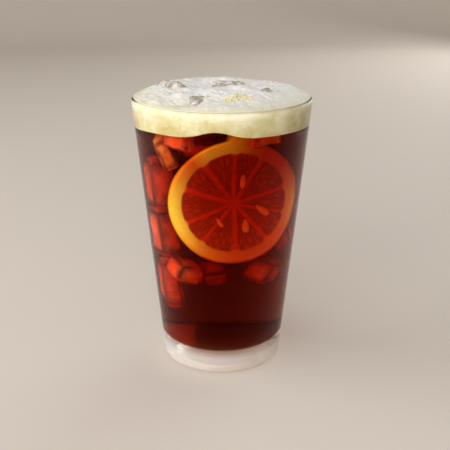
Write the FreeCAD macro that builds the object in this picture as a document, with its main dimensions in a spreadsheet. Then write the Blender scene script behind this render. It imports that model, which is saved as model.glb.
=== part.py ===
# A tapered glass of cold brew: heavy glass, dark coffee, a head of foam heaped over the rim,
# ice cubes that break the foam and an upright slice of lemon against the front wall.
# Millimetres, +Z up, origin at the middle of the glass's foot. The front of the glass is -Y.
import FreeCAD
import Part
import Sketcher
import math
import os

# The driving dimensions: alias, value, what it sets.
SIZES = [
    ("rim_diameter", 89.0, "outside of the glass at its rim"),
    ("base_diameter", 61.0, "outside of the glass at its foot, before the heel is rounded"),
    ("glass_height", 137.0, "foot to rim"),
    ("wall_thickness", 2.6, "wall, measured level"),
    ("base_thickness", 11.7, "solid glass under the drink"),
    ("heel_radius", 3.4, "outer edge of the foot"),
    ("floor_radius", 5.0, "inner corner between wall and floor"),
    ("lip_share", 0.46, "radius of each edge of the lip, as a share of the wall"),
    ("punt_diameter", 40.0, "shallow hollow in the middle of the foot"),
    ("punt_depth", 0.8, "how far that hollow goes in"),
    ("foam_depth", 12.0, "rim down to the drink's mean level"),
    ("foam_crown", 6.2, "rim up to the top of the foam's dome"),
    ("foam_edge", 0.6, "foam standing on the lip"),
    ("slice_diameter", 60.5, "lemon slice, over its rind"),
    ("slice_thickness", 5.0, "lemon slice"),
    ("rind_width", 5.8, "zest and pith together, seen on the cut face"),
    ("rind_round", 1.2, "rounded edge of the rind"),
    ("segment_count", 10.0, "segments in the slice"),
    ("membrane_width", 1.1, "skin between two segments"),
    ("segment_corner", 2.4, "rounded outer corners of a segment"),
    ("pulp_recess", 0.5, "pulp sunk below the membranes on each face"),
    ("slice_gap", 0.9, "rind to the wall, where the slice is widest"),
    ("slice_shift", 0.13, "how far right the slice sits, as a share of its spare room"),
    ("slice_drop", 16.8, "rim down to the top of the slice"),
    ("slice_turn", 12.0, "degrees that the slice faces to the right"),
    ("slice_lean", 10.0, "degrees that the slice leans back"),
    ("ice_length", 24.0, "ice cube as it left the tray"),
    ("ice_width", 20.0, "ice cube"),
    ("ice_height", 20.0, "ice cube"),
    ("ice_draft", 4.0, "degrees that the tray's walls lean"),
    ("ice_round", 3.2, "melted edges and corners"),
]

# Ice cubes held in the foam. Right and back place the middle of a cube, as shares of the inner
# radius at the rim, and rise is its height above the drink's level, as a share of the cube's.
# name, size left after melting, right, back, rise, turn, nod, roll (degrees)
ICE = [
    ("ice_left", 0.98, -0.565, 0.04, 0.37, -60.0, -4.0, -34.0),
    ("ice_front", 0.60, -0.205, -0.70, 0.505, 20.0, 4.0, 30.0),
    ("ice_middle", 0.74, 0.08, -0.09, 0.555, -4.0, 3.0, 32.0),
    ("ice_right", 0.60, 0.475, -0.30, 0.525, 75.0, 18.0, -20.0),
]

# Lumps and hollows of the foam: right, back, spread (shares of the inner radius), height in mm.
TOP_LUMPS = [
    (-0.62, 0.28, 0.30, 1.4),
    (0.05, 0.35, 0.24, 0.6),
    (-0.20, 0.00, 0.22, -1.8),
    (0.25, -0.35, 0.30, 1.0),
    (-0.45, -0.80, 0.24, -0.6),
    (0.75, 0.20, 0.26, 1.4),
    (0.42, 0.62, 0.26, -1.0),
]
UNDER_LUMPS = [
    (-0.07, -1.00, 0.24, 3.2),
    (-1.00, -0.20, 0.35, -1.3),
    (1.00, -0.30, 0.35, -0.5),
    (0.10, 0.95, 0.40, 1.6),
    (-0.60, 0.80, 0.30, -1.2),
]

GRID_STEPS = 16           # spans each way in the foam's surfaces
DOME_POWER = 3.4          # how square the foam's dome is at its shoulder
OVERRUN = 1.15            # how far the foam's surfaces run past the rim, as a share of its radius
MATCH = 0.01              # how near an edge must be to the radius and height asked for, in mm
UP = FreeCAD.Vector(0, 0, 1)


def make_sheet(doc):
    sheet = doc.addObject("Spreadsheet::Sheet", "Sizes")
    for row, (alias, value, meaning) in enumerate(SIZES, start=1):
        sheet.set("A%d" % row, alias)
        sheet.set("B%d" % row, str(value))
        sheet.set("C%d" % row, meaning)
        sheet.setAlias("B%d" % row, alias)
    doc.recompute()
    return sheet


def origin_item(body, role):
    return [item for item in body.Origin.OriginFeatures if item.Role == role][0]


def new_body(doc, label):
    body = doc.addObject("PartDesign::Body", label)
    body.Label = label
    return body


def new_sketch(body, name, plane):
    sketch = body.newObject("Sketcher::SketchObject", name)
    sketch.AttachmentSupport = [(origin_item(body, plane), "")]
    sketch.MapMode = "FlatFace"
    return sketch


def bind(sketch, name, kind, ends, formula, value):
    """Adds a named dimension to a sketch and ties it to the sheet."""
    index = sketch.addConstraint(Sketcher.Constraint(kind, *ends, value))
    sketch.renameConstraint(index, name)
    sketch.setExpression("Constraints." + name, formula)


def closed_outline(sketch, corners):
    """Lines through the corners in turn, joined end to start."""
    for here, there in zip(corners, corners[1:] + corners[:1]):
        start = FreeCAD.Vector(here[0], here[1], 0)
        end = FreeCAD.Vector(there[0], there[1], 0)
        sketch.addGeometry(Part.LineSegment(start, end), False)
    count = len(corners)
    for line in range(count):
        sketch.addConstraint(Sketcher.Constraint("Coincident", line, 2, (line + 1) % count, 1))


def round_outline(sketch, name, formula, radius):
    """One circle about the sketch's origin."""
    sketch.addGeometry(Part.Circle(FreeCAD.Vector(0, 0, 0), UP, radius), False)
    sketch.addConstraint(Sketcher.Constraint("Coincident", 0, 3, -1, 1))
    bind(sketch, name, "Radius", (0,), formula, radius)


def circle_edges(shape, radius, height):
    """Names of the edges that are level circles of this radius at this height."""
    names = []
    for index, edge in enumerate(shape.Edges, start=1):
        if edge.Curve.TypeId != "Part::GeomCircle":
            continue
        if abs(edge.Curve.Radius - radius) < MATCH and abs(edge.Curve.Center.z - height) < MATCH:
            names.append("Edge%d" % index)
    return names


def round_edges(doc, body, name, base, edges, formula):
    fillet = body.newObject("PartDesign::Fillet", name)
    fillet.Base = (base, edges)
    fillet.setExpression("Radius", formula)
    body.Tip = fillet
    doc.recompute()
    return fillet


def spin(doc, body, name, sketch):
    turned = body.newObject("PartDesign::Revolution", name)
    turned.Profile = sketch
    turned.ReferenceAxis = (sketch, ["V_Axis"])
    turned.Angle = 360.0
    doc.recompute()
    return turned


class Inside:
    """The tapered inside of the glass, worked out from the sheet."""

    def __init__(self, sheet):
        self.height = sheet.glass_height
        self.floor = sheet.base_thickness
        self.rim = sheet.rim_diameter / 2 - sheet.wall_thickness
        self.slope = (sheet.rim_diameter - sheet.base_diameter) / 2 / sheet.glass_height
        self.level = sheet.glass_height - sheet.foam_depth

    def radius(self, height):
        return self.rim - self.slope * (self.height - height)


def make_glass(doc, sheet):
    """A straight tapered wall on a heavy base, with a rounded lip and heel."""
    inside = Inside(sheet)
    rim = sheet.rim_diameter / 2
    foot = sheet.base_diameter / 2
    top = sheet.glass_height
    floor = sheet.base_thickness
    body = new_body(doc, "glass")
    sketch = new_sketch(body, "glass_section", "XZ_Plane")
    outer_corners = [(0, 0), (foot, 0), (rim, top)]
    inner_corners = [(inside.rim, top), (inside.radius(floor), floor), (0, floor)]
    closed_outline(sketch, outer_corners + inner_corners)
    bottom, outer, lip, inner, floor_line, axis = range(6)
    for line in (bottom, lip, floor_line):
        sketch.addConstraint(Sketcher.Constraint("Horizontal", line))
    sketch.addConstraint(Sketcher.Constraint("Vertical", axis))
    sketch.addConstraint(Sketcher.Constraint("Coincident", bottom, 1, -1, 1))
    sketch.addConstraint(Sketcher.Constraint("Parallel", outer, inner))
    bind(sketch, "foot_radius", "DistanceX", (-1, 1, bottom, 2), "Sizes.base_diameter / 2", foot)
    bind(sketch, "rim_radius", "DistanceX", (-1, 1, outer, 2), "Sizes.rim_diameter / 2", rim)
    bind(sketch, "height", "DistanceY", (-1, 1, outer, 2), "Sizes.glass_height", top)
    bind(sketch, "wall", "DistanceX", (lip, 2, lip, 1), "Sizes.wall_thickness", sheet.wall_thickness)
    bind(sketch, "floor", "DistanceY", (-1, 1, floor_line, 2), "Sizes.base_thickness", floor)
    wall = spin(doc, body, "glass_wall", sketch)

    hollow = new_sketch(body, "punt_outline", "XY_Plane")
    round_outline(hollow, "punt_radius", "Sizes.punt_diameter / 2", sheet.punt_diameter / 2)
    punt = body.newObject("PartDesign::Pocket", "punt")
    punt.Profile = hollow
    punt.Reversed = True
    punt.setExpression("Length", "Sizes.punt_depth")
    doc.recompute()
    if punt.Shape.Volume >= wall.Shape.Volume:
        raise RuntimeError("the hollow in the foot cuts nothing")

    corner = circle_edges(punt.Shape, inside.radius(floor), floor)
    floor_corner = round_edges(doc, body, "floor_corner", punt, corner, "Sizes.floor_radius")
    heel_edge = circle_edges(floor_corner.Shape, foot, 0)
    heel = round_edges(doc, body, "heel", floor_corner, heel_edge, "Sizes.heel_radius")
    lip_edges = circle_edges(heel.Shape, rim, top) + circle_edges(heel.Shape, inside.rim, top)
    round_edges(doc, body, "lip", heel, lip_edges, "Sizes.wall_thickness * Sizes.lip_share")
    return body


def make_fill(doc, sheet):
    """What the glass can hold, up to the rim: the drink and the foam are both cut from it."""
    inside = Inside(sheet)
    top = sheet.glass_height
    floor = sheet.base_thickness
    body = new_body(doc, "fill")
    sketch = new_sketch(body, "fill_section", "XZ_Plane")
    closed_outline(sketch, [(0, floor), (inside.radius(floor), floor), (inside.rim, top), (0, top)])
    floor_line, side, rim_line, axis = range(4)
    for line in (floor_line, rim_line):
        sketch.addConstraint(Sketcher.Constraint("Horizontal", line))
    sketch.addConstraint(Sketcher.Constraint("Vertical", axis))
    sketch.addConstraint(Sketcher.Constraint("PointOnObject", floor_line, 1, -2))
    rim_radius = "Sizes.rim_diameter / 2 - Sizes.wall_thickness"
    taper = "(Sizes.rim_diameter - Sizes.base_diameter) / 2"
    narrowing = taper + " * (1 - Sizes.base_thickness / Sizes.glass_height)"
    bind(sketch, "rim_radius", "DistanceX", (-1, 1, side, 2), rim_radius, inside.rim)
    floor_radius = inside.radius(floor)
    bind(sketch, "floor_radius", "DistanceX", (-1, 1, side, 1), rim_radius + " - " + narrowing, floor_radius)
    bind(sketch, "rim_height", "DistanceY", (-1, 1, side, 2), "Sizes.glass_height", top)
    bind(sketch, "floor_height", "DistanceY", (-1, 1, side, 1), "Sizes.base_thickness", floor)
    solid = spin(doc, body, "fill_solid", sketch)
    corner = circle_edges(solid.Shape, floor_radius, floor)
    round_edges(doc, body, "fill_corner", solid, corner, "Sizes.floor_radius")
    return body


def lumps(table, x, y, reach):
    """Height added at a point by a table of soft lumps and hollows."""
    total = 0.0
    for right, back, spread, height in table:
        away = math.hypot(x - right * reach, y - back * reach) / (spread * reach)
        total += height * math.exp(-away * away)
    return total


def wavy_block(height_at, reach, tall):
    """A block from the ground up whose top is a smooth surface through height_at(x, y)."""
    step = 2 * reach / GRID_STEPS
    rows = []
    for i in range(GRID_STEPS + 1):
        x = -reach + i * step
        ys = [-reach + j * step for j in range(GRID_STEPS + 1)]
        rows.append([FreeCAD.Vector(x, y, height_at(x, y)) for y in ys])
    surface = Part.BSplineSurface()
    surface.interpolate(rows)
    prism = surface.toShape().extrude(FreeCAD.Vector(0, 0, -2 * tall))
    frame = Part.makeBox(2 * reach, 2 * reach, 2 * tall, FreeCAD.Vector(-reach, -reach, 0))
    return prism.common(frame)


def make_drink_block(doc, sheet):
    """Everything below the foam's wavy underside."""
    inside = Inside(sheet)

    def height_at(x, y):
        return inside.level + lumps(UNDER_LUMPS, x, y, inside.rim)

    block = doc.addObject("Part::Feature", "below_foam")
    block.Shape = wavy_block(height_at, inside.rim * OVERRUN, inside.height)
    return block


def make_foam_block(doc, sheet):
    """Everything below the foam's heaped top."""
    inside = Inside(sheet)
    crest = sheet.rim_diameter / 2 - sheet.wall_thickness / 2

    def height_at(x, y):
        dome = 1 - (math.hypot(x, y) / crest) ** DOME_POWER
        rise = sheet.foam_edge + (sheet.foam_crown - sheet.foam_edge) * dome
        return inside.height + rise + lumps(TOP_LUMPS, x, y, inside.rim) * max(dome, 0)

    block = doc.addObject("Part::Feature", "below_top")
    block.Shape = wavy_block(height_at, inside.rim * OVERRUN, inside.height)
    return block


def make_slice(doc, sheet):
    """A round of lemon held between the walls: rind, membranes and sunken segments on both faces."""
    radius = sheet.slice_diameter / 2
    pulp = radius - sheet.rind_width
    half = sheet.slice_thickness / 2
    body = new_body(doc, "lemon_slice")
    disc = new_sketch(body, "slice_outline", "XY_Plane")
    round_outline(disc, "slice_radius", "Sizes.slice_diameter / 2", radius)
    pad = body.newObject("PartDesign::Pad", "slice_disc")
    pad.Profile = disc
    pad.Midplane = True
    pad.setExpression("Length", "Sizes.slice_thickness")
    doc.recompute()
    edges = circle_edges(pad.Shape, radius, half) + circle_edges(pad.Shape, radius, -half)
    rind = round_edges(doc, body, "rind_edge", pad, edges, "Sizes.rind_round")

    pockets = []
    for side, name in ((1, "front"), (-1, "back")):
        sketch = new_sketch(body, "segment_" + name, "XY_Plane")
        sketch.setExpression("AttachmentOffset.Base.z", "%d * Sizes.slice_thickness / 2" % side)
        segment_outline(sketch, sheet, pulp)
        pocket = body.newObject("PartDesign::Pocket", "pulp_" + name)
        pocket.Profile = sketch
        pocket.Reversed = side < 0
        pocket.setExpression("Length", "Sizes.pulp_recess")
        pockets.append(pocket)
    doc.recompute()
    round_of_segments = body.newObject("PartDesign::PolarPattern", "segments")
    round_of_segments.Originals = pockets
    round_of_segments.Axis = (origin_item(body, "Z_Axis"), [""])
    round_of_segments.Angle = 360.0
    round_of_segments.setExpression("Occurrences", "Sizes.segment_count")
    body.Tip = round_of_segments
    doc.recompute()
    if body.Shape.Volume >= rind.Shape.Volume:
        raise RuntimeError("the segments cut nothing")

    lean = math.radians(sheet.slice_lean)
    height = sheet.glass_height - sheet.slice_drop - radius * math.cos(lean)
    reach = Inside(sheet).radius(height) - sheet.slice_gap
    aside = sheet.slice_shift * (reach - radius)
    ahead = math.sqrt(reach ** 2 - (radius + aside) ** 2)
    tipped = FreeCAD.Rotation(FreeCAD.Vector(1, 0, 0), 90 - sheet.slice_lean)
    turned = FreeCAD.Rotation(UP, sheet.slice_turn)
    facing = turned.multVec(FreeCAD.Vector(0, -math.cos(lean), math.sin(lean)))
    middle = turned.multVec(FreeCAD.Vector(aside, -ahead, height)) - facing * half
    body.Placement = FreeCAD.Placement(middle, turned.multiply(tipped))
    return body


def segment_outline(sketch, sheet, pulp):
    """One segment: a wedge with its point off the hub by half a membrane and two round corners."""
    half_angle = math.radians(180 / sheet.segment_count)
    tip = sheet.membrane_width / 2 / math.sin(half_angle)
    corner = sheet.segment_corner
    # The corner's middle lies one corner radius inside the side and inside the outer arc.
    reach = pulp - corner
    sink = sheet.membrane_width / 2 + corner
    along = math.sqrt(reach ** 2 - sink ** 2)
    side = FreeCAD.Vector(math.cos(half_angle), math.sin(half_angle), 0)
    inward = FreeCAD.Vector(math.sin(half_angle), -math.cos(half_angle), 0)
    middle = side * along + inward * sink
    bearing = math.atan2(middle.y, middle.x)
    square = half_angle + math.pi / 2
    point = FreeCAD.Vector(tip, 0, 0)
    touch = side * along + inward * (sheet.membrane_width / 2)
    hub = FreeCAD.Vector(0, 0, 0)
    lower_middle = FreeCAD.Vector(middle.x, -middle.y, 0)
    lower_touch = FreeCAD.Vector(touch.x, -touch.y, 0)
    sketch.addGeometry(Part.LineSegment(point, touch), False)
    sketch.addGeometry(Part.ArcOfCircle(Part.Circle(middle, UP, corner), bearing, square), False)
    sketch.addGeometry(Part.ArcOfCircle(Part.Circle(hub, UP, pulp), -bearing, bearing), False)
    sketch.addGeometry(Part.ArcOfCircle(Part.Circle(lower_middle, UP, corner), -square, -bearing), False)
    sketch.addGeometry(Part.LineSegment(lower_touch, point), False)
    upper, upper_corner, outer, lower_corner, lower = range(5)
    sketch.addConstraint(Sketcher.Constraint("Coincident", upper, 1, lower, 2))
    sketch.addConstraint(Sketcher.Constraint("PointOnObject", upper, 1, -1))
    sketch.addConstraint(Sketcher.Constraint("Coincident", outer, 3, -1, 1))
    sketch.addConstraint(Sketcher.Constraint("Tangent", upper, 2, upper_corner, 2))
    sketch.addConstraint(Sketcher.Constraint("Tangent", upper_corner, 1, outer, 2))
    sketch.addConstraint(Sketcher.Constraint("Tangent", outer, 1, lower_corner, 2))
    sketch.addConstraint(Sketcher.Constraint("Tangent", lower_corner, 1, lower, 1))
    sketch.addConstraint(Sketcher.Constraint("Equal", upper_corner, lower_corner))
    tip_formula = "Sizes.membrane_width / 2 / sin(180 deg / Sizes.segment_count)"
    pulp_formula = "Sizes.slice_diameter / 2 - Sizes.rind_width"
    bind(sketch, "tip", "DistanceX", (-1, 1, upper, 1), tip_formula, tip)
    bind(sketch, "pulp_radius", "Radius", (outer,), pulp_formula, pulp)
    bind(sketch, "corner", "Radius", (upper_corner,), "Sizes.segment_corner", corner)
    bind(sketch, "upper_side", "Angle", (-1, 1, upper, 1), "180 deg / Sizes.segment_count", half_angle)
    bind(sketch, "lower_side", "Angle", (lower, 2, -1, 1), "180 deg / Sizes.segment_count", half_angle)


def make_ice(doc, sheet, name, melt, right, back, rise, turn, nod, roll):
    """A tray-made cube with leaning sides and melted edges, set in the foam."""
    inside = Inside(sheet)
    length = sheet.ice_length * melt
    width = sheet.ice_width * melt
    body = new_body(doc, name)
    sketch = new_sketch(body, name + "_foot", "XY_Plane")
    half_length = length / 2
    half_width = width / 2
    corners = [(-half_length, -half_width), (half_length, -half_width)]
    corners += [(half_length, half_width), (-half_length, half_width)]
    closed_outline(sketch, corners)
    for line, kind in enumerate(("Horizontal", "Vertical", "Horizontal", "Vertical")):
        sketch.addConstraint(Sketcher.Constraint(kind, line))
    sketch.addConstraint(Sketcher.Constraint("Symmetric", 0, 1, 1, 2, -1, 1))
    bind(sketch, "length", "DistanceX", (0, 1, 0, 2), "Sizes.ice_length * %s" % melt, length)
    bind(sketch, "width", "DistanceY", (1, 1, 1, 2), "Sizes.ice_width * %s" % melt, width)
    pad = body.newObject("PartDesign::Pad", name + "_block")
    pad.Profile = sketch
    pad.Midplane = True
    pad.setExpression("Length", "Sizes.ice_height * %s" % melt)
    pad.setExpression("TaperAngle", "-Sizes.ice_draft")
    doc.recompute()
    edges = ["Edge%d" % (index + 1) for index in range(len(pad.Shape.Edges))]
    round_edges(doc, body, name + "_melt", pad, edges, "Sizes.ice_round * %s" % melt)
    height = inside.level + rise * sheet.ice_height
    place = FreeCAD.Vector(right * inside.rim, back * inside.rim, height)
    body.Placement = FreeCAD.Placement(place, FreeCAD.Rotation(turn, nod, roll))
    return body


def cut_away(doc, name, base, tools):
    """The base with each tool cut out of it, one Part::Cut after another."""
    for index, tool in enumerate(tools, start=1):
        cut = doc.addObject("Part::Cut", "%s_cut_%d" % (name, index))
        cut.Base = base
        cut.Tool = tool
        base = cut
    doc.recompute()
    return base


def make_drink(doc, fill, below_foam, sunk):
    """Coffee from the floor of the glass up to the foam, round the slice and the ice."""
    poured = doc.addObject("Part::Common", "poured")
    poured.Base = fill
    poured.Tool = below_foam
    drink = cut_away(doc, "drink", poured, sunk)
    drink.Label = "cold_brew"
    return drink


def make_foam(doc, fill, glass, below_foam, below_top, ice):
    """Foam from the drink to its heaped top, resting on the inner half of the lip."""
    cap = doc.addObject("Part::Cylinder", "foam_cap")
    cap.setExpression("Radius", "(Sizes.rim_diameter - Sizes.wall_thickness) / 2")
    cap.setExpression("Height", "Sizes.rim_diameter / 2")
    lip_foot = "Sizes.glass_height - Sizes.wall_thickness * Sizes.lip_share"
    cap.setExpression("Placement.Base.z", lip_foot)
    room = doc.addObject("Part::Fuse", "room_for_foam")
    room.Base = fill
    room.Tool = cap
    heap = doc.addObject("Part::Common", "heap")
    heap.Base = room
    heap.Tool = below_top
    foam = cut_away(doc, "foam", heap, [below_foam, glass] + ice)
    foam.Label = "foam"
    return foam


def check_objects(doc, pieces):
    """Stops the build when an object failed or a piece isn't one sound solid."""
    for item in doc.Objects:
        if "Invalid" in item.State or "Error" in item.State:
            raise RuntimeError("%s did not build: %s" % (item.Label, item.State))
    for piece in pieces:
        if piece.Shape.isNull() or not piece.Shape.isValid():
            raise RuntimeError("%s has no sound shape" % piece.Label)
        if len(piece.Shape.Solids) != 1:
            raise RuntimeError("%s is %d solids" % (piece.Label, len(piece.Shape.Solids)))


def main():
    doc = FreeCAD.newDocument("cold_brew_glass")
    sheet = make_sheet(doc)
    glass = make_glass(doc, sheet)
    fill = make_fill(doc, sheet)
    below_foam = make_drink_block(doc, sheet)
    below_top = make_foam_block(doc, sheet)
    lemon = make_slice(doc, sheet)
    ice = [make_ice(doc, sheet, *row) for row in ICE]
    drink = make_drink(doc, fill, below_foam, [lemon] + ice)
    foam = make_foam(doc, fill, glass, below_foam, below_top, ice)
    pieces = [glass, drink, foam, lemon] + ice
    doc.recompute()
    check_objects(doc, pieces)
    os.makedirs("parts", exist_ok=True)
    for piece in pieces:
        piece.Shape.exportStep("parts/%s.step" % piece.Label)
        print("%-12s %9.0f mm3" % (piece.Label, piece.Shape.Volume))


main()
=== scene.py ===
# A tapered glass of cold brew with a heap of foam, ice cubes and an upright slice of lemon.
import math
import random

import bmesh
import bpy
from mathutils import Euler, Matrix, Vector, noise


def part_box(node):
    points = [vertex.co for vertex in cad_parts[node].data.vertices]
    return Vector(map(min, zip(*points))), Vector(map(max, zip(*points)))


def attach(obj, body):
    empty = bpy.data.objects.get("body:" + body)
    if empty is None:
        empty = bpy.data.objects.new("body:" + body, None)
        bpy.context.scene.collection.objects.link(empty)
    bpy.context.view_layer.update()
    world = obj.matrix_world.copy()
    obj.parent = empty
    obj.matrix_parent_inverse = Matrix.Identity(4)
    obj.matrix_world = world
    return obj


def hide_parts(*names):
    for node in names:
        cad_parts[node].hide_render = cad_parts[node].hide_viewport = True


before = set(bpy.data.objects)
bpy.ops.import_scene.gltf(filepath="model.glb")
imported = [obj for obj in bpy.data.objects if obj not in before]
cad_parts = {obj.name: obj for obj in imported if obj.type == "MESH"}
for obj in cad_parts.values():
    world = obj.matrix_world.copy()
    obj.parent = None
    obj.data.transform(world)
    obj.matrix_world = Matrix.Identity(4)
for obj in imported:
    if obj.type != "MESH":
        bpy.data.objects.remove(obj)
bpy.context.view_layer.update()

MM = 0.001

# The glass. Its height is the frame's; the rest repeats the sizes it was drawn with.
GLASS_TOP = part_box("glass")[1].z
RIM_RADIUS = 44.5 * MM
FOOT_RADIUS = 30.5 * MM
WALL = 2.6 * MM
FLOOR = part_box("cold_brew")[0].z
FLOOR_ROUND = 5.0 * MM
SLOPE = (RIM_RADIUS - FOOT_RADIUS) / GLASS_TOP
BITE = 0.15 * MM           # how far what fills the glass reaches into its wall

INNER_RIM = RIM_RADIUS - WALL
LIP_MIDDLE = RIM_RADIUS - WALL / 2

# The foam: its underside, the heap above the rim, and lumps on both as right and back (shares of
# the mouth's radius), spread (the same) and height (mm).
LEVEL = GLASS_TOP - 12.0 * MM
CROWN = 6.2 * MM           # height of the heap's middle above the rim
EDGE = 0.6 * MM            # height of its edge above the rim
DOME_POWER = 3.4
TOP_LUMPS = [
    (-0.62, 0.28, 0.30, 1.4),
    (0.05, 0.35, 0.24, 0.6),
    (-0.20, 0.00, 0.22, -1.8),
    (0.25, -0.35, 0.30, 1.0),
    (-0.45, -0.80, 0.24, -0.6),
    (0.75, 0.20, 0.26, 1.4),
    (0.42, 0.62, 0.26, -1.0),
]
UNDER_LUMPS = [
    (-0.07, -1.00, 0.24, 3.2),
    (-1.00, -0.20, 0.35, -1.3),
    (1.00, -0.30, 0.35, -0.5),
    (0.10, 0.95, 0.40, 1.6),
    (-0.60, 0.80, 0.30, -1.2),
]
ROOM = 0.12 * MM           # how far a cube of ice reaches into the foam and the drink round it

# Looks. A loss is the light taken per metre of path, in red, green and blue.
GLASS_LOSS = (2.0, 1.2, 1.8)
DRINK_LOSS = (38.0, 98.0, 170.0)
GLASS_BEND = 1.18          # lower than real glass, so that less of the floor shows in its sides
DRINK_BEND = 1.333
ICE_BEND = 1.31
SUNK_BEND = 1.02           # ice in a drink hardly shows its edges
BASE_CLEAR = 0.58          # share of the light that passes the milky base
GLASS_TINT = (0.96, 0.98, 0.965)
BASE_TINT = (0.86, 0.87, 0.84)
FLOOR_SHADE_TINT = (0.66, 0.40, 0.26)      # brown painted on the inside's floor, painted shade that darkens the bottom of the drink
BLACK = (0.0, 0.0, 0.0)
PULP_DARK = (0.36, 0.022, 0.012)
PULP_LIGHT = (0.56, 0.05, 0.02)
PITH_DEEP = (1.0, 0.92, 0.10)
PITH_PALE = (1.0, 1.0, 0.22)
# Reds for the rind's painted shade and for the drink's stain on the membranes inside it.
SHADE_AND_STAIN_DEEP = (0.60, 0.025, 0.01)
SHADE_AND_STAIN_PALE = (0.82, 0.05, 0.02)


def inner_radius(height):
    return INNER_RIM - SLOPE * (GLASS_TOP - height)


def lumps(table, x, y):
    """The height that a table of lumps adds at a point."""
    total = 0.0
    for right, back, spread, height in table:
        away = math.hypot(x / INNER_RIM - right, y / INNER_RIM - back) / spread
        total += height * MM * math.exp(-away * away)
    return total


# ---------------------------------------------------------------- meshes

def new_piece(name, mesh, body="root"):
    piece = bpy.data.objects.new(name, mesh)
    bpy.context.scene.collection.objects.link(piece)
    if body:
        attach(piece, body)
    return piece


def smooth(mesh):
    mesh.polygons.foreach_set("use_smooth", [True] * len(mesh.polygons))


def turned_mesh(name, rings, steps):
    """A closed skin round +Z. Each ring is a function of the angle that gives radius and height;
    the first and the last are single points on the axis."""
    points = [(0.0, 0.0, rings[0](0.0)[1])]
    for ring in rings[1:-1]:
        for step in range(steps):
            angle = math.tau * step / steps
            radius, height = ring(angle)
            points.append((radius * math.cos(angle), radius * math.sin(angle), height))
    points.append((0.0, 0.0, rings[-1](0.0)[1]))
    last = len(points) - 1
    faces = []
    for step in range(steps):
        after = (step + 1) % steps
        faces.append((0, 1 + step, 1 + after))
        for row in range(len(rings) - 3):
            here = 1 + row * steps
            faces.append((here + step, here + steps + step, here + steps + after, here + after))
        here = 1 + (len(rings) - 3) * steps
        faces.append((last, here + after, here + step))
    mesh = bpy.data.meshes.new(name)
    mesh.from_pydata(points, [], faces)
    smooth(mesh)
    return mesh


def apply_modifiers(piece):
    shown = piece.evaluated_get(bpy.context.evaluated_depsgraph_get())
    mesh = bpy.data.meshes.new_from_object(shown)
    piece.modifiers.clear()
    piece.data = mesh


def subtract(piece, cutters):
    for cutter in cutters:
        cut = piece.modifiers.new("cut", "BOOLEAN")
        cut.operation = "DIFFERENCE"
        cut.solver = "MANIFOLD"
        cut.object = cutter
    apply_modifiers(piece)


def shrunk_copy(piece, inset):
    """A copy of a piece with its skin moved in, to cut its room out of what is round it."""
    mesh = piece.data.copy()
    normals = [vertex.normal.copy() for vertex in mesh.vertices]
    for vertex, normal in zip(mesh.vertices, normals):
        vertex.co -= normal * inset
    copy = bpy.data.objects.new(piece.name + "_room", mesh)
    bpy.context.scene.collection.objects.link(copy)
    return copy


# ---------------------------------------------------------------- materials

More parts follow.
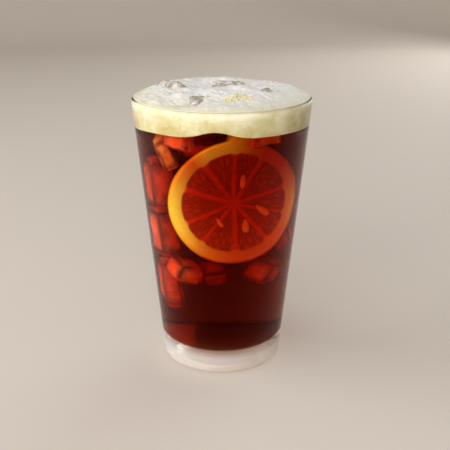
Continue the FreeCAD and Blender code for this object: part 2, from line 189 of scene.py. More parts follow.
class Nodes:
    """Short ways to add shader nodes to a new material."""

    def __init__(self, name):
        self.material = bpy.data.materials.new(name)
        self.material.use_nodes = True
        self.tree = self.material.node_tree
        self.shader = self.tree.nodes["Principled BSDF"]
        self.output = self.tree.nodes["Material Output"]
        self.place = self.add("ShaderNodeTexCoord").outputs["Object"]

    def add(self, kind, **values):
        node = self.tree.nodes.new(kind)
        for name, value in values.items():
            setattr(node, name, value)
        return node

    def link(self, source, target):
        self.tree.links.new(source, target)

    def noise(self, size, detail=3.0, rough=0.5):
        node = self.add("ShaderNodeTexNoise")
        node.inputs["Scale"].default_value = 1 / size
        node.inputs["Detail"].default_value = detail
        node.inputs["Roughness"].default_value = rough
        self.link(self.place, node.inputs["Vector"])
        return node.outputs["Fac"]

    def cells(self, size):
        node = self.add("ShaderNodeTexVoronoi", feature="F1")
        node.inputs["Scale"].default_value = 1 / size
        self.link(self.place, node.inputs["Vector"])
        return node.outputs["Distance"]

    def ramp(self, source, stops):
        node = self.add("ShaderNodeValToRGB")
        ramp = node.color_ramp
        while len(ramp.elements) < len(stops):
            ramp.elements.new(0.5)
        for element, (place, colour) in zip(ramp.elements, stops):
            element.position = place
            element.color = (*colour, 1.0)
        self.link(source, node.inputs["Fac"])
        return node.outputs["Color"]

    def spread(self, source, low, high, to_low=0.0, to_high=1.0):
        node = self.add("ShaderNodeMapRange")
        for socket, value in zip(("From Min", "From Max", "To Min", "To Max"),
                                 (low, high, to_low, to_high)):
            node.inputs[socket].default_value = value
        self.link(source, node.inputs["Value"])
        return node.outputs["Result"]

    def mix(self, share, first, second):
        node = self.add("ShaderNodeMix", data_type="RGBA")
        for socket, value in ((node.inputs["Factor"], share), (node.inputs["A"], first),
                              (node.inputs["B"], second)):
            if isinstance(value, bpy.types.NodeSocket):
                self.link(value, socket)
            else:
                socket.default_value = (*value, 1.0)
        return node.outputs["Result"]

    def height(self):
        node = self.add("ShaderNodeSeparateXYZ")
        self.link(self.place, node.inputs["Vector"])
        return node.outputs["Z"]

    def math(self, operation, *values):
        node = self.add("ShaderNodeMath", operation=operation)
        for socket, value in zip(node.inputs, values):
            if isinstance(value, bpy.types.NodeSocket):
                self.link(value, socket)
            else:
                socket.default_value = value
        return node.outputs["Value"]

    def wall_share(self):
        """0 on the wall's inside and 1 on its outside, where it tapers with height."""
        node = self.add("ShaderNodeSeparateXYZ")
        self.link(self.place, node.inputs["Vector"])
        across, along = node.outputs["X"], node.outputs["Y"]
        squares = self.math("ADD", self.math("MULTIPLY", across, across),
                            self.math("MULTIPLY", along, along))
        radius = self.math("SQRT", squares)
        inner = self.math("MULTIPLY_ADD", node.outputs["Z"], SLOPE, inner_radius(0.0))
        return self.spread(self.math("SUBTRACT", radius, inner), WALL * 0.3, WALL * 0.6)

    def attribute(self, name):
        return self.add("ShaderNodeAttribute", attribute_name=name).outputs["Fac"]

    def bump(self, source, depth, strength=1.0):
        node = self.add("ShaderNodeBump")
        node.inputs["Distance"].default_value = depth
        node.inputs["Strength"].default_value = strength
        self.link(source, node.inputs["Height"])
        self.link(node.outputs["Normal"], self.shader.inputs["Normal"])

    def set(self, **values):
        for name, value in values.items():
            socket = self.shader.inputs[name.replace("_", " ")]
            if isinstance(value, bpy.types.NodeSocket):
                self.link(value, socket)
            elif isinstance(value, tuple) and len(value) == 3 and socket.type == "RGBA":
                socket.default_value = (*value, 1.0)
            else:
                socket.default_value = value

    def pass_lamps(self, share=1.0):
        """Lets the lamps' light straight through to what is behind or sunk in this."""
        clear = self.add("ShaderNodeBsdfTransparent")
        clear.inputs["Color"].default_value = (share, share, share, 1.0)
        both = self.add("ShaderNodeMixShader")
        self.link(self.add("ShaderNodeLightPath").outputs["Is Shadow Ray"], both.inputs[0])
        self.link(self.shader.outputs["BSDF"], both.inputs[1])
        self.link(clear.outputs["BSDF"], both.inputs[2])
        self.link(both.outputs["Shader"], self.output.inputs["Surface"])

    def absorb(self, per_metre):
        """Light lost per metre of path in red, green and blue."""
        most = max(per_metre)
        node = self.add("ShaderNodeVolumeAbsorption")
        node.inputs["Color"].default_value = (*(1 - loss / most for loss in per_metre), 1.0)
        node.inputs["Density"].default_value = most
        self.link(node.outputs["Volume"], self.output.inputs["Volume"])


def glass_material():
    """Clear glass, faintly milky in its heavy base. It hardly mirrors where the drink or the foam
    wets it, on the inside, and most at its lip."""
    nodes = Nodes("clear_glass_finish")
    height, outside = nodes.height(), nodes.wall_share()
    lip = nodes.spread(height, GLASS_TOP - 4 * MM, GLASS_TOP - 1 * MM)
    mirror = nodes.mix(outside, BLACK, nodes.mix(lip, (0.2, 0.2, 0.2), (0.9, 0.9, 0.9)))
    clear = nodes.spread(height, FLOOR - 2.5 * MM, FLOOR + 2.0 * MM, BASE_CLEAR, 1.0)
    haze = nodes.spread(nodes.noise(9 * MM), 0.3, 0.7, 0.0, 0.02)
    frost = nodes.spread(height, FLOOR - 3.0 * MM, FLOOR + 1.0 * MM, 0.25, 0.0)
    low = nodes.spread(height, FLOOR - 2.0 * MM, FLOOR + 1.5 * MM)
    shell = nodes.ramp(low, [(0.0, BASE_TINT), (1.0, GLASS_TINT)])
    # The inside's floor is painted brown: painted shade that makes the bottom of the drink darker.
    floor_shade_lining = nodes.ramp(low, [(0.0, FLOOR_SHADE_TINT), (0.6, FLOOR_SHADE_TINT), (1.0, GLASS_TINT)])
    nodes.set(Base_Color=nodes.mix(outside, floor_shade_lining, shell), Transmission_Weight=clear,
              IOR=GLASS_BEND, Roughness=nodes.math("MAXIMUM", haze, frost), Specular_Tint=mirror)
    nodes.bump(nodes.noise(14 * MM, 1.0), 0.05 * MM, 0.3)
    nodes.absorb(GLASS_LOSS)
    nodes.pass_lamps(0.95)
    return nodes.material


def drink_material():
    nodes = Nodes("cold_brew_liquid")
    nodes.set(Base_Color=(1.0, 1.0, 1.0), Transmission_Weight=1.0, IOR=DRINK_BEND, Roughness=0.0,
              Specular_Tint=BLACK)
    nodes.absorb(DRINK_LOSS)
    nodes.pass_lamps()
    return nodes.material


def poking_ice_material():
    """Wet ice with a milky film on it in patches."""
    nodes = Nodes("wet_ice")
    film = nodes.spread(nodes.noise(4 * MM, 5.0, 0.65), 0.42, 0.66)
    clear = nodes.spread(film, 0.0, 1.0, 0.66, 0.15)
    tone = nodes.mix(film, (0.86, 0.75, 0.62), (0.94, 0.91, 0.86))
    rough = nodes.spread(film, 0.0, 1.0, 0.10, 0.45)
    nodes.set(Base_Color=tone, Transmission_Weight=clear, IOR=ICE_BEND, Roughness=rough)
    nodes.bump(nodes.noise(2.2 * MM, 3.0), 0.35 * MM, 0.5)
    return nodes.material


def sunk_ice_material(name, edge_tone, core_tone):
    """Ice, cloudy in the middle of each side and clear at its edges, painted red all through: a
    painted glow that stands for the light through the drink.
    """
    nodes = Nodes(name)
    cloud = nodes.math("MULTIPLY", nodes.attribute("core"),
                       nodes.spread(nodes.noise(6 * MM, 3.0, 0.5), 0.25, 0.6, 0.35, 1.0))
    clear = nodes.spread(cloud, 0.0, 1.0, 1.0, 0.1)
    tone = nodes.mix(cloud, edge_tone, core_tone)
    nodes.set(Base_Color=tone, Transmission_Weight=clear, IOR=SUNK_BEND, Roughness=0.2,
              Specular_Tint=BLACK)
    nodes.pass_lamps(0.8)
    return nodes.material


def foam_material():
    """Cream where it touches the drink and white on top, with patches, stains and pores."""
    nodes = Nodes("milk_white_foam")
    rise = nodes.spread(nodes.height(), LEVEL - 2 * MM, GLASS_TOP + 5.5 * MM)
    tone = nodes.ramp(rise, [(0.0, (0.38, 0.29, 0.11)), (0.50, (0.42, 0.34, 0.145)),
                             (0.70, (0.64, 0.58, 0.38)), (0.88, (0.80, 0.78, 0.69)),
                             (1.0, (0.86, 0.85, 0.84))])
    patches = nodes.spread(nodes.noise(10 * MM, 4.0, 0.6), 0.38, 0.66, 0.0, 0.6)
    tone = nodes.mix(patches, tone, nodes.mix(rise, (0.56, 0.48, 0.26), (0.84, 0.83, 0.78)))
    stains = nodes.spread(nodes.noise(3.2 * MM, 2.0), 0.66, 0.76, 0.0, 0.55)
    tone = nodes.mix(stains, tone, (0.74, 0.58, 0.14))
    pores = nodes.spread(nodes.cells(2.6 * MM), 0.05, 0.14)
    colour = nodes.mix(pores, (0.42, 0.28, 0.08), tone)
    nodes.set(Base_Color=colour, Roughness=0.5, Subsurface_Weight=0.3,
              Subsurface_Radius=(1.0, 0.9, 0.7), Subsurface_Scale=0.8 * MM)
    nodes.bump(nodes.cells(0.6 * MM), 0.14 * MM, 0.6)
    return nodes.material


def bubble_material():
    """The yellow skin of a bubble that light passes in part."""
    nodes = Nodes("foam_bubble")
    tone = nodes.mix(nodes.noise(2.0 * MM), (0.93, 0.80, 0.30), (0.95, 0.90, 0.62))
    nodes.set(Base_Color=tone, Transmission_Weight=0.35, IOR=1.2, Roughness=0.12)
    return nodes.material


def lemon_material():
    """Flesh in segments, pith and zest. Round most of the slice the rind is painted red, painted
    shade that leaves only its lit left and top yellow, and the membranes inside the rind get the
    same red as a stain of the drink.
    """
    nodes = Nodes("lemon_flesh_and_rind")
    pulp = nodes.mix(nodes.attribute("juice"), PULP_DARK, PULP_LIGHT)
    pith = nodes.mix(nodes.noise(2.5 * MM, 4.0), PITH_DEEP, PITH_PALE)
    zest = nodes.mix(nodes.noise(1.0 * MM), (0.98, 0.66, 0.03), (1.0, 0.76, 0.08))
    skin = nodes.mix(nodes.attribute("zest"), pith, zest)
    # Painted shade: the rind turns red where the table says, and the membranes inside the rind take
    # the same red as a stain.
    shade_and_stain_tone = nodes.mix(nodes.noise(3.0 * MM), SHADE_AND_STAIN_DEEP, SHADE_AND_STAIN_PALE)
    skin = nodes.mix(nodes.attribute("shade_and_stain"), skin, shade_and_stain_tone)
    colour = nodes.mix(nodes.attribute("pulp"), skin, pulp)
    nodes.set(Base_Color=colour, Roughness=0.4, Subsurface_Weight=0.4,
              Subsurface_Radius=(1.0, 0.6, 0.2), Subsurface_Scale=1.2 * MM)
    nodes.bump(nodes.noise(0.8 * MM, 3.0), 0.15 * MM, 0.5)
    return nodes.material


def pip_material():
    nodes = Nodes("lemon_pip")
    tone = nodes.mix(nodes.noise(1.5 * MM, 3.0), (0.98, 0.20, 0.05), (1.0, 0.34, 0.10))
    nodes.set(Base_Color=tone, Roughness=0.35, Subsurface_Weight=0.3,
              Subsurface_Radius=(1.0, 0.7, 0.4), Subsurface_Scale=1.0 * MM)
    nodes.bump(nodes.noise(0.7 * MM), 0.05 * MM, 0.4)
    return nodes.material


# ---------------------------------------------------------------- pieces

def foam_top(x, y):
    dome = 1 - (math.hypot(x, y) / LIP_MIDDLE) ** DOME_POWER
    return GLASS_TOP + EDGE + (CROWN - EDGE) * dome + lumps(TOP_LUMPS, x, y) * max(dome, 0.0)


def foam_under(x, y):
    return LEVEL + lumps(UNDER_LUMPS, x, y)


def over(surface, radius, lift=0.0):
    """A ring of a given radius that lies on a surface."""
    def ring(angle):
        return radius, surface(radius * math.cos(angle), radius * math.sin(angle)) + lift
    return ring


def make_drink(material):
    """The liquid: its wall reaches just into the glass and its top just into the foam."""
    steps, top_rings, wall_rings, corner_rings, floor_rings = 160, 40, 30, 12, 10
    lift = 0.3 * MM
    rim = inner_radius(LEVEL) + BITE
    rings = [over(foam_under, rim * ring / top_rings, lift) for ring in range(top_rings)]
    bottom = FLOOR + FLOOR_ROUND

    def on_wall(share):
        def ring(angle):
            top = over(foam_under, rim, lift)(angle)[1]
            height = bottom + (top - bottom) * share
            return inner_radius(height) + BITE, height
        return ring

    rings += [on_wall(1 - ring / wall_rings) for ring in range(wall_rings)]
    side = inner_radius(bottom) + BITE - FLOOR_ROUND
    for ring in range(corner_rings + 1):
        turn = math.pi / 2 * ring / corner_rings
        radius = side + FLOOR_ROUND * math.cos(turn)
        height = bottom - (FLOOR_ROUND + BITE) * math.sin(turn)
        rings.append(lambda angle, radius=radius, height=height: (radius, height))
    for ring in range(floor_rings - 1, -1, -1):
        rings.append(lambda angle, ring=ring: (side * ring / floor_rings, FLOOR - BITE))
    mesh = turned_mesh("cold_brew_liquid", rings, steps)
    mesh.materials.append(material)
    piece = new_piece("cold_brew_liquid", mesh)
    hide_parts("cold_brew")
    return piece


def bubbly_top(x, y):
    """The heaped top with its fine lumps, folds and burst bubbles."""
    edge = min(max((LIP_MIDDLE - math.hypot(x, y)) / (3 * MM), 0.0), 1.0)
    spot = Vector((x, y, 0.0))
    folds = noise.fractal(spot / (9 * MM), 1.0, 2.0, 3) * 0.9 * MM
    grain = noise.fractal(spot / (2.2 * MM) + Vector((7.0, 3.0, 0.0)), 0.8, 2.0, 2) * 0.16 * MM
    near, _ = noise.voronoi(spot / (3.4 * MM) + Vector((1.0, 5.0, 0.0)))
    pits = -0.35 * MM * max(0.0, 1 - near[0] / 0.28)
    return foam_top(x, y) + edge * (folds + grain + pits)


def make_foam(material):
    """The foam: heaped out to the middle of the lip, down inside the wall, and a wavy underside."""
    steps, top_rings, wall_rings, under_rings = 400, 110, 24, 40
    rings = [over(bubbly_top, LIP_MIDDLE * ring / top_rings) for ring in range(top_rings + 1)]

    def on_wall(share):
        def ring(angle):
            inner = inner_radius(GLASS_TOP) + BITE
            low = over(foam_under, inner)(angle)[1]
            height = low + (GLASS_TOP - 1.0 * MM - low) * share
            return inner_radius(height) + BITE, height
        return ring

    rings += [lambda angle: (INNER_RIM + BITE + 0.3 * MM, GLASS_TOP + 0.1 * MM)]
    rings += [on_wall(1 - ring / wall_rings) for ring in range(wall_rings + 1)]
    rings += [over(foam_under, inner_radius(LEVEL) * ring / under_rings)
              for ring in range(under_rings - 1, -1, -1)]
    mesh = turned_mesh("heaped_foam", rings, steps)
    mesh.materials.append(material)
    piece = new_piece("heaped_foam", mesh)
    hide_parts("foam")
    return piece


def roughen(mesh, size, depth, seed):
    """Moves a mesh's points along their normals by a smooth noise."""
    shift = Vector((seed * 17.3, seed * 5.1, seed * 9.7))
    moves = [(noise.fractal(vertex.co / size + shift, 1.0, 2.0, 3) * depth) * vertex.normal
             for vertex in mesh.vertices]
    for vertex, move in zip(mesh.vertices, moves):
        vertex.co += move


def remesh(piece, voxel):
    """Gives a piece even small faces and softens its edges."""
    fine = piece.modifiers.new("remesh", "REMESH")
    fine.mode = "VOXEL"
    fine.voxel_size = voxel
    fine.use_smooth_shade = True
    soft = piece.modifiers.new("soften", "SMOOTH")
    soft.factor = 0.5
    soft.iterations = 6
    apply_modifiers(piece)
    smooth(piece.data)


def make_poking_ice(material):
    """The four cubes that break the foam, melted unevenly."""
    pieces = []
    for seed, name in enumerate(("ice_left", "ice_front", "ice_middle", "ice_right")):
        piece = new_piece(name + "_melted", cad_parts[name].data.copy())
        remesh(piece, 0.7 * MM)
        roughen(piece.data, 8 * MM, 0.5 * MM, seed)
        piece.data.materials.clear()
        piece.data.materials.append(material)
        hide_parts(name)
        pieces.append(piece)
    return pieces


# Ice sunk in the drink: middle (mm), size (mm), turn (degrees about X, Y and Z).
SUNK_ICE = [
    ("sunk_ice_low_left", (-16.5, -15.5, 53.6), (15, 14, 12), (20, 15, 30)),
    ("sunk_ice_low_middle", (-3.5, -8.0, 51.0), (13, 12, 12), (35, -10, 10)),
    ("sunk_ice_low_right", (16.5, -8.5, 52.0), (15, 13, 13), (-15, 25, -20)),
    ("sunk_ice_right", (24.0, -5.0, 68.0), (11, 11, 13), (10, -20, 15)),
    ("sunk_ice_high_left", (-24.5, -21.0, 114.5), (8, 7, 16), (5, -28, 0)),
    ("sunk_ice_left_upper", (-26.5, -9.0, 97.0), (14, 13, 28), (4, -6, 10)),
    ("sunk_ice_left_middle", (-25.0, -9.0, 72.0), (14, 13, 26), (-5, -5, 25)),
    ("sunk_ice_left_lower", (-22.5, -8.0, 44.0), (11, 11, 28), (6, -8, 0)),
    ("sunk_ice_back_left", (-14.0, 10.0, 96.0), (20, 18, 22), (15, 10, 25)),
    ("sunk_ice_back_middle", (9.0, 4.0, 108.0), (19, 18, 18), (-10, 20, 15)),
    ("sunk_ice_top_left", (-19.0, -26.5, 121.5), (15, 9, 7), (0, 10, -28)),
    ("sunk_ice_top_right", (18.5, -22.0, 122.0), (16, 8, 6), (0, -4, 32)),
    ("sunk_ice_top_middle", (-8.0, -18.0, 116.5), (20, 9, 9), (0, 4, -10)),
]
NEAR_WALL = ("sunk_ice_high_left",)        # where less of the drink lies before the ice, so this ice is painted a lighter amber glow


def rounded_block(name, size, seed):
    """A cube with its edges melted round. Its attribute "core" is 1 in the middle of each side
    and 0 at the edges."""
    roundness = 3.6            # 2 would be an egg, and more is nearer to a box
    shape = bmesh.new()
    bmesh.ops.create_cube(shape, size=1.0)
    bmesh.ops.subdivide_edges(shape, edges=shape.edges[:], cuts=19, use_grid_fill=True)
    core = []
    for vertex in shape.verts:
        p = vertex.co * 2
        edge = sorted(abs(c) for c in p)[1]
        core.append((1 - edge ** 2) ** 1.5 if edge < 1 else 0.0)
        length = sum(abs(c) ** roundness for c in p) ** (1 / roundness)
        p = p / length * 0.5
        vertex.co = Vector((p.x * size[0], p.y * size[1], p.z * size[2])) * MM
    mesh = bpy.data.meshes.new(name)
    shape.to_mesh(mesh)
    shape.free()
    layer = mesh.attributes.new("core", "FLOAT", "POINT")
    layer.data.foreach_set("value", core)
    roughen(mesh, 7 * MM, 0.9 * MM, seed)
    smooth(mesh)
    return mesh


def make_sunk_ice(red_glow, amber_glow):
    for seed, (name, middle, size, turn) in enumerate(SUNK_ICE):
        mesh = rounded_block(name, size, seed + 10)
        rotation = Euler([math.radians(t) for t in turn]).to_matrix().to_4x4()
        mesh.transform(Matrix.Translation(Vector(middle) * MM) @ rotation)
        mesh.materials.append(amber_glow if name in NEAR_WALL else red_glow)
        new_piece(name, mesh)


# The slice. Its size and place repeat what it was drawn with.
SLICE_RADIUS = 30.25 * MM
SLICE_HALF = 2.5 * MM                      # half its thickness
SLICE_DROP = 16.8 * MM                     # its top below the rim
SLICE_GAP = 0.9 * MM                       # between its widest part and the wall
SLICE_SHIFT = 0.13                         # aside, as a share of the room that it has
SLICE_TURN = math.radians(12.0)
SLICE_LEAN = math.radians(10.0)
SLICE_WIDE, SLICE_TALL = 0.975, 1.024      # a real slice isn't quite round
SLICE_BOW = 7.0 * MM                       # how far its top bows towards the wall in front
SLICE_CURL = 11.0 * MM                     # how far its upper left edge curls forward besides
RIND = 5.8 * MM
ZEST = 1.6 * MM
ROUNDING = 1.5 * MM                        # of the rind's corners
CELL_DEPTH = 0.55 * MM                     # how far the flesh lies below the membranes
SEGMENTS = 10
FIRST_MEMBRANE = math.radians(19.5)

# How far the rind is painted red, painted shade, from 0 to 1, at angles round the slice in degrees;
# none at its lit left.
RIND_SHADE = [(0, 0.6), (20, 0.7), (40, 0.95), (60, 0.95), (75, 0.7), (88, 0.2), (98, 0.0), (122, 0.1),
        (135, 0.8), (150, 0.5), (165, 0.15), (180, 0.0), (205, 0.0), (225, 0.3), (245, 0.65),
        (270, 0.85), (300, 0.9), (330, 0.85), (360, 0.6)]


def slice_place():
    """Where the slice stands: leaning back in the taper, its widest part just off the wall."""
    height = GLASS_TOP - SLICE_DROP - SLICE_RADIUS * math.cos(SLICE_LEAN)
    reach = inner_radius(height) - SLICE_GAP
    aside = SLICE_SHIFT * (reach - SLICE_RADIUS)
    ahead = math.sqrt(reach ** 2 - (SLICE_RADIUS + aside) ** 2)
    turned = Matrix.Rotation(SLICE_TURN, 4, "Z")
    facing = turned @ Vector((0, -math.cos(SLICE_LEAN), math.sin(SLICE_LEAN)))
    middle = turned @ Vector((aside, -ahead, height)) - facing * SLICE_HALF
    return Matrix.Translation(middle) @ turned @ Matrix.Rotation(math.pi / 2 - SLICE_LEAN, 4, "X")


def bent(x, y, z):
    """A point of the flat slice moved to where it lies in the bowed one."""
    right, up = x / SLICE_RADIUS, y / SLICE_RADIUS
    forward = SLICE_BOW * max(0.0, 1 - right * right) * (up + 1) / 2
    forward += SLICE_CURL * max(0.0, 0.94 * up - 0.34 * right) ** 2
    return (x, y - 0.03 * forward, z + forward)


def segment_depth(x, y):
    """How far a point of the cut face lies inside a segment; below 0 on membranes and pith."""
    radius = math.hypot(x, y)
    angle = math.atan2(y, x)
    angle += 0.05 * math.sin(3 * angle + 1.0) + 0.03 * math.sin(5 * angle)
    pitch = math.tau / SEGMENTS
    across = ((angle - FIRST_MEMBRANE) % pitch) - pitch / 2
    side = radius * math.sin(abs(pitch / 2 - abs(across))) - 0.55 * MM
    outer = SLICE_RADIUS - RIND - radius
    inner = radius - 2.6 * MM
    # Round corners where a side meets the outer arc.
    corner = 2.4 * MM
    if side < corner and outer < corner:
        return corner - math.hypot(corner - side, corner - outer)
    return min(side, outer, inner)


def rind_shade_at(angle):
    """The share from the table above at any angle."""
    degrees = math.degrees(angle) % 360
    for (here, low), (there, high) in zip(RIND_SHADE, RIND_SHADE[1:]):
        if here <= degrees <= there:
            return low + (high - low) * (degrees - here) / (there - here)
    return 0.0


def slice_point(face, distance, angle):
    """One point of the slice's skin and its four attributes; face is 1 in front, -1 behind."""
    x, y = distance * math.cos(angle), distance * math.sin(angle)
    pulp = min(max(segment_depth(x, y) / (0.9 * MM), 0.0), 1.0)
    near, _ = noise.voronoi(Vector((angle * 9.0, distance / (4.6 * MM), face * 3.0)))
    juice = min((near[1] - near[0]) * 2.2, 1.0)
    edge = max(0.0, distance - (SLICE_RADIUS - ROUNDING)) / ROUNDING
    depth = SLICE_HALF - (CELL_DEPTH - 0.3 * MM * juice) * pulp
    depth += noise.noise(Vector((x, y, 0.0)) / (4 * MM)) * 0.12 * MM
    depth *= math.sqrt(max(0.0, 1 - edge * edge))
    around = Vector((math.cos(angle), math.sin(angle), 2.0))
    wobble = 1 + 0.008 * noise.noise(around * 1.6)
    zest = 1.0 if distance > SLICE_RADIUS - ZEST else 0.0
    within = min(max((SLICE_RADIUS - RIND - distance) / (1.5 * MM), 0.0), 1.0)
    spot = bent(x * SLICE_WIDE * wobble, y * SLICE_TALL * wobble, face * depth)
    # The rind's painted shade from the table, and the red stain on the membranes inside the rind.
    return spot, {"pulp": pulp, "zest": zest, "shade_and_stain": max(rind_shade_at(angle), within), "juice": juice}


def make_lemon(material):
    """The slice of lemon: two patterned faces that meet at its rounded rim."""
    steps, rows = 480, 78
    points, layers, faces = [], {"pulp": [], "zest": [], "shade_and_stain": [], "juice": []}, []
    for face in (1, -1):
        for row in range(rows + 1):
            for step in range(steps):
                spot, values = slice_point(face, SLICE_RADIUS * row / rows,
                                           math.tau * step / steps)
                points.append(spot)
                for label, value in values.items():
                    layers[label].append(value)
    block = (rows + 1) * steps
    for side in (0, 1):
        for row in range(rows):
            for step in range(steps):
                a = side * block + row * steps + step
                b = side * block + row * steps + (step + 1) % steps
                quad = (a, a + steps, b + steps, b)
                faces.append(quad if side == 0 else quad[::-1])
    mesh = bpy.data.meshes.new("lemon_round")
    mesh.from_pydata(points, [], faces)
    for label, values in layers.items():
        layer = mesh.attributes.new(label, "FLOAT", "POINT")
        layer.data.foreach_set("value", values)
    shape = bmesh.new()
    shape.from_mesh(mesh)
    bmesh.ops.remove_doubles(shape, verts=shape.verts, dist=0.005 * MM)
    shape.to_mesh(mesh)
    shape.free()
    smooth(mesh)
    mesh.transform(slice_place())
    mesh.materials.append(material)
    piece = new_piece("lemon_round", mesh)
    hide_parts("lemon_slice")


# Pips: right and up on the slice's face, length, width (mm), lean (degrees from upright).
PIPS = [(3.4, 11.2, 8.0, 2.2, -6), (12.1, -4.3, 8.2, 3.0, 48), (4.8, -11.8, 7.0, 3.2, 4),
        (-6.5, -9.5, 5.0, 1.8, 30)]


def add_blob(shape, place, stretch, taper=0.0, rings=12, steps=20):
    """Adds a closed egg to a bmesh; place is its matrix and stretch its half sizes."""
    rows = []
    for ring in range(1, rings):
        turn = math.pi * ring / rings
        row = []
        for step in range(steps):
            around = math.tau * step / steps
            up = math.cos(turn)
            wide = math.sin(turn) * (1 - taper * up)
            across, along = wide * math.cos(around), wide * math.sin(around)
            spot = Vector((across * stretch[0], along * stretch[1], up * stretch[2]))
            row.append(shape.verts.new(place @ spot))
        rows.append(row)
    top = shape.verts.new(place @ Vector((0, 0, stretch[2])))
    bottom = shape.verts.new(place @ Vector((0, 0, -stretch[2])))
    for step in range(steps):
        after = (step + 1) % steps
        shape.faces.new((top, rows[0][step], rows[0][after]))
        for upper, lower in zip(rows, rows[1:]):
            shape.faces.new((upper[step], lower[step], lower[after], upper[after]))
        shape.faces.new((rows[-1][step], bottom, rows[-1][after]))


def finish_blobs(name, shape, material):
    """Turns a bmesh of blobs into one joined piece."""
    mesh = bpy.data.meshes.new(name)
    shape.to_mesh(mesh)
    shape.free()
    smooth(mesh)
    mesh.materials.append(material)
    return new_piece(name, mesh)


def make_pips(material):
    shape = bmesh.new()
    for right, up, length, width, lean in PIPS:
        spot = Vector(bent(right * MM, up * MM, SLICE_HALF))
        place = (slice_place() @ Matrix.Translation(spot)
                 @ Matrix.Rotation(math.radians(lean), 4, "Z")
                 @ Matrix.Rotation(-math.pi / 2, 4, "X"))
        half = (width / 2 * MM, width * 0.38 * MM, length / 2 * MM)
        add_blob(shape, place, half, 0.35)
    piece = finish_blobs("pips", shape, material)


# Clusters of bubbles on the foam: right, back (mm), spread (mm), how many, largest radius (mm).
BUBBLES = [(4.5, -31.0, 4.5, 46, 0.85), (9.5, -27.0, 4.0, 30, 0.7), (26.0, -14.0, 1.6, 8, 0.9),
           (-6.5, -27.5, 1.2, 4, 0.8), (-14.0, -24.0, 6.0, 18, 0.4), (15.0, -10.0, 9.0, 30, 0.4),
           (-22.0, 8.0, 9.0, 30, 0.4), (0.0, 22.0, 14.0, 60, 0.45), (22.0, 14.0, 9.0, 34, 0.45)]


def make_bubbles(material):
    dice = random.Random(11)
    shape = bmesh.new()
    for right, back, spread, count, largest in BUBBLES:
        for _ in range(count):
            x = (right + dice.gauss(0, spread / 2)) * MM
            y = (back + dice.gauss(0, spread / 2)) * MM
            radius = largest * (0.35 + 0.65 * dice.random() ** 2) * MM
            if math.hypot(x, y) > LIP_MIDDLE - 3 * MM:
                continue
            place = Matrix.Translation((x, y, bubbly_top(x, y) + radius * 0.1))
            add_blob(shape, place, (radius, radius, radius * 0.8), rings=8, steps=14)
    piece = finish_blobs("foam_bubbles", shape, material)


# ---------------------------------------------------------------- studio

def make_studio():
    """A pale floor that curves up into a pale wall all round."""
    reach, height, bend = 1.4, 1.1, 0.5
    rings = [(0.0, 0.0)]
    rings += [(reach * share / 8, 0.0) for share in range(1, 9)]
    for step in range(1, 17):
        turn = math.pi / 2 * step / 16
        rings.append((reach + bend * math.sin(turn), bend * (1 - math.cos(turn))))
    rings.append((reach + bend, height))
    steps = 96
    points = [(r * math.cos(math.tau * s / steps), r * math.sin(math.tau * s / steps), z)
              for r, z in rings for s in range(steps)]
    faces = [(k * steps + s, k * steps + (s + 1) % steps, (k + 1) * steps + (s + 1) % steps,
              (k + 1) * steps + s) for k in range(len(rings) - 1) for s in range(steps)]
    mesh = bpy.data.meshes.new("studio")
    mesh.from_pydata(points, [], faces)
    smooth(mesh)
    nodes = Nodes("pale_studio")
    nodes.set(Base_Color=nodes.mix(nodes.noise(0.4), (0.68, 0.61, 0.54), (0.72, 0.65, 0.58)),
              Roughness=0.8)
    mesh.materials.append(nodes.material)
    new_piece("studio", mesh, body=None)


def add_light(name, place, target, size, power, glossy):
    lamp = bpy.data.lights.new(name, "AREA")
    lamp.shape = "RECTANGLE"
    lamp.size, lamp.size_y = size
    lamp.energy = power
    light = bpy.data.objects.new(name, lamp)
    light.location = place
    light.rotation_euler = (Vector(target) - Vector(place)).to_track_quat("-Z", "Y").to_euler()
    light.visible_camera = False
    light.visible_glossy = glossy
    bpy.context.scene.collection.objects.link(light)


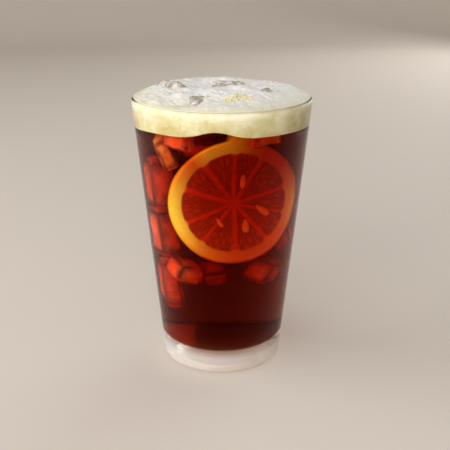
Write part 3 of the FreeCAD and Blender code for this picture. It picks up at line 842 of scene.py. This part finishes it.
# Lamps: place (m), size (m), power (W), seen in reflections.
LIGHTS = [
    ("key", (-1.05, -0.10, 0.55), (1.1, 1.1), 8.5, False),
    ("fill", (-0.40, -1.15, 0.50), (1.4, 1.0), 17.0, False),
    ("back", (0.75, 1.00, 0.55), (1.0, 0.9), 5.5, True),
]


def make_lights():
    world = bpy.data.worlds.new("soft_daylight")
    world.use_nodes = True
    background = world.node_tree.nodes["Background"]
    background.inputs["Color"].default_value = (1.0, 0.98, 0.95, 1.0)
    background.inputs["Strength"].default_value = 0.28
    bpy.context.scene.world = world
    middle = (0.0, 0.0, 0.07)
    for name, place, size, power, glossy in LIGHTS:
        add_light(name, place, middle, size, power, glossy)


def make_camera():
    camera = bpy.data.cameras.new("camera")
    camera.lens = 64.0
    camera.sensor_width = 36.0
    camera.clip_start = 0.01
    camera.shift_x, camera.shift_y = 0.0069, 0.0076
    look_at = Vector((0.0, 0.0, 0.0685))
    distance, elevation = 0.4146, math.radians(19.45)
    eye = bpy.data.objects.new("camera", camera)
    eye.location = look_at + distance * Vector((0, -math.cos(elevation), math.sin(elevation)))
    eye.rotation_euler = (look_at - eye.location).to_track_quat("-Z", "Y").to_euler()
    bpy.context.scene.collection.objects.link(eye)
    bpy.context.scene.camera = eye


# ---------------------------------------------------------------- the object

scene = bpy.context.scene
scene.view_settings.view_transform = "Standard"
scene.cycles.use_denoising = True
scene.cycles.max_bounces = 24
scene.cycles.transmission_bounces = 20
scene.cycles.transparent_max_bounces = 8

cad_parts["glass"].material_slots[0].material = glass_material()
poking = make_poking_ice(poking_ice_material())
# The sunk ice is painted red, and amber for the piece near the wall: a painted glow of light
# through the drink.
make_sunk_ice(sunk_ice_material("red_glow_ice", (1.0, 0.24, 0.12), (1.0, 0.10, 0.03)),
              sunk_ice_material("amber_glow_ice", (1.0, 0.45, 0.20), (1.0, 0.30, 0.05)))
rooms = [shrunk_copy(cube, ROOM) for cube in poking]
for piece in (make_drink(drink_material()), make_foam(foam_material())):
    subtract(piece, rooms)
    smooth(piece.data)
for room in rooms:
    bpy.data.objects.remove(room)
make_lemon(lemon_material())
make_pips(pip_material())
make_bubbles(bubble_material())
make_studio()
make_lights()
make_camera()

bpy.context.view_layer.update()
